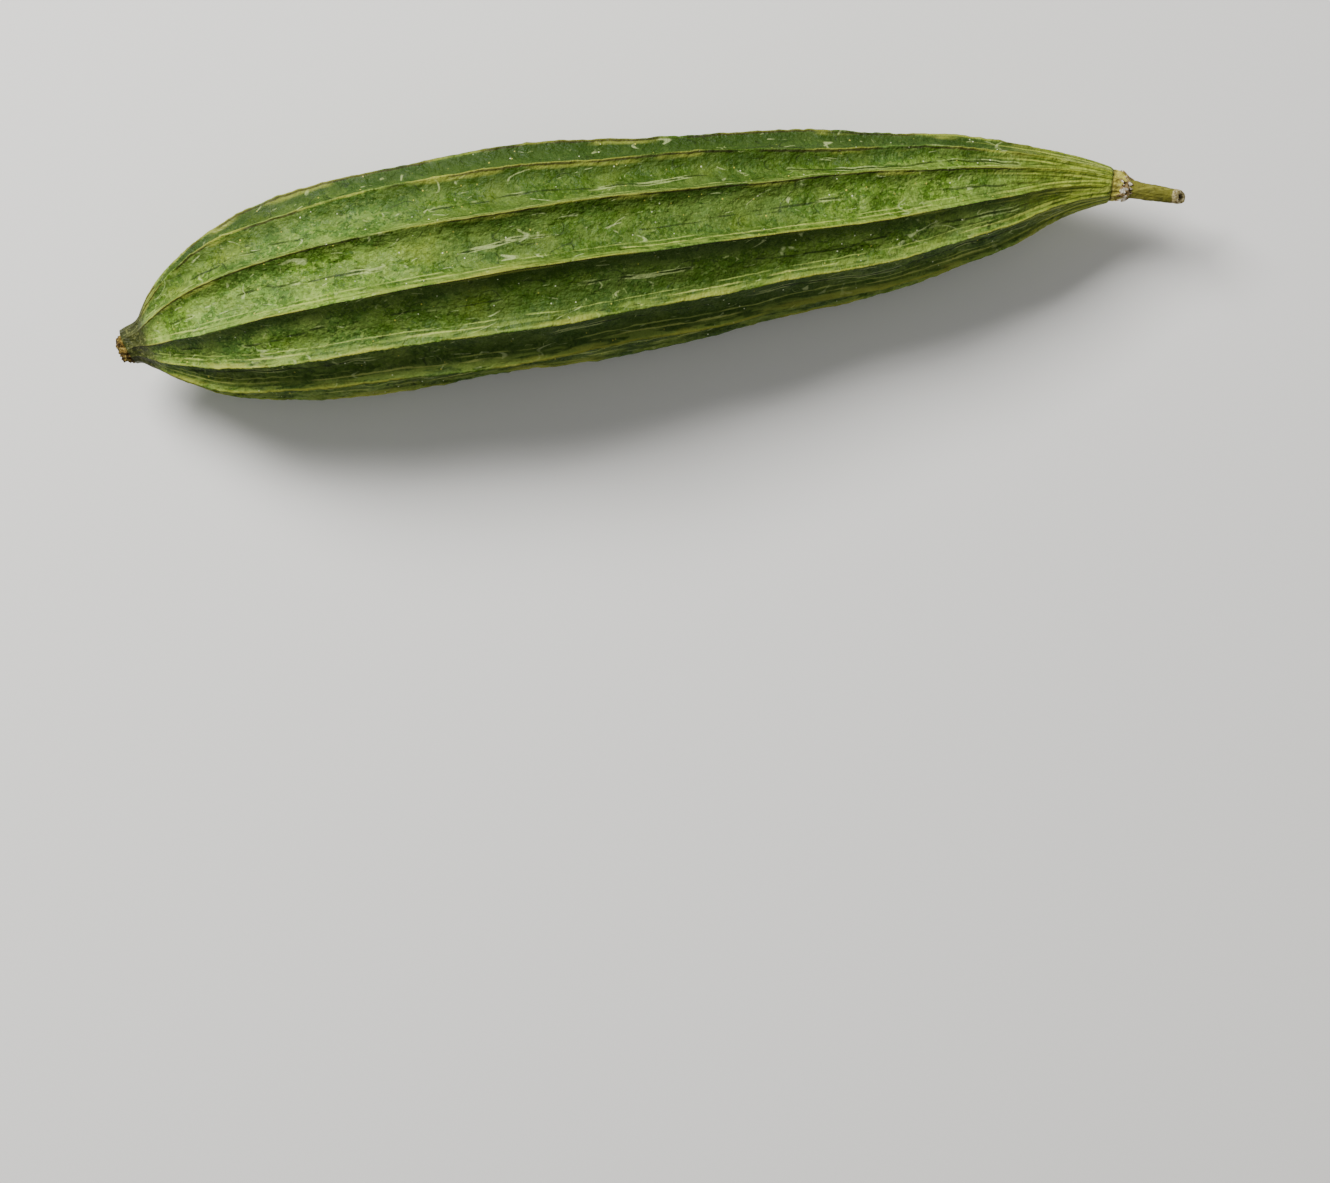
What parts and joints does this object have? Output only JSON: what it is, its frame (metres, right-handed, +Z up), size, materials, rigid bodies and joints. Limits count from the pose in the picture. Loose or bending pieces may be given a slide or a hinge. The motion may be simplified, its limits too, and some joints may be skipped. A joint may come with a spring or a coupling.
{
  "type": "ridge gourd",
  "caption": "Slender ribbed green gourd lying on its side, with a dried flower scar at one end and a short cut stem at the other.",
  "frame": {"origin": "centre of the bounding box's bottom, on the surface that the gourd lies on", "axes": "+X along the fruit from the flower scar to the stem's cut end, +Y towards the outside of the fruit's gentle bend, +Z up"},
  "size_m": [0.2, 0.0406, 0.0402],
  "materials": {
    "gourd_skin": "waxy green rind, mottled, half matt",
    "stem_rind": "olive green stalk with a pale cut end",
    "dried_scar": "dry brown corky tissue"
  },
  "bodies": {
    "root": {"fruit": "gourd_skin", "stem": "stem_rind", "blossom_scar": "dried_scar"}
  },
  "joints": []
}
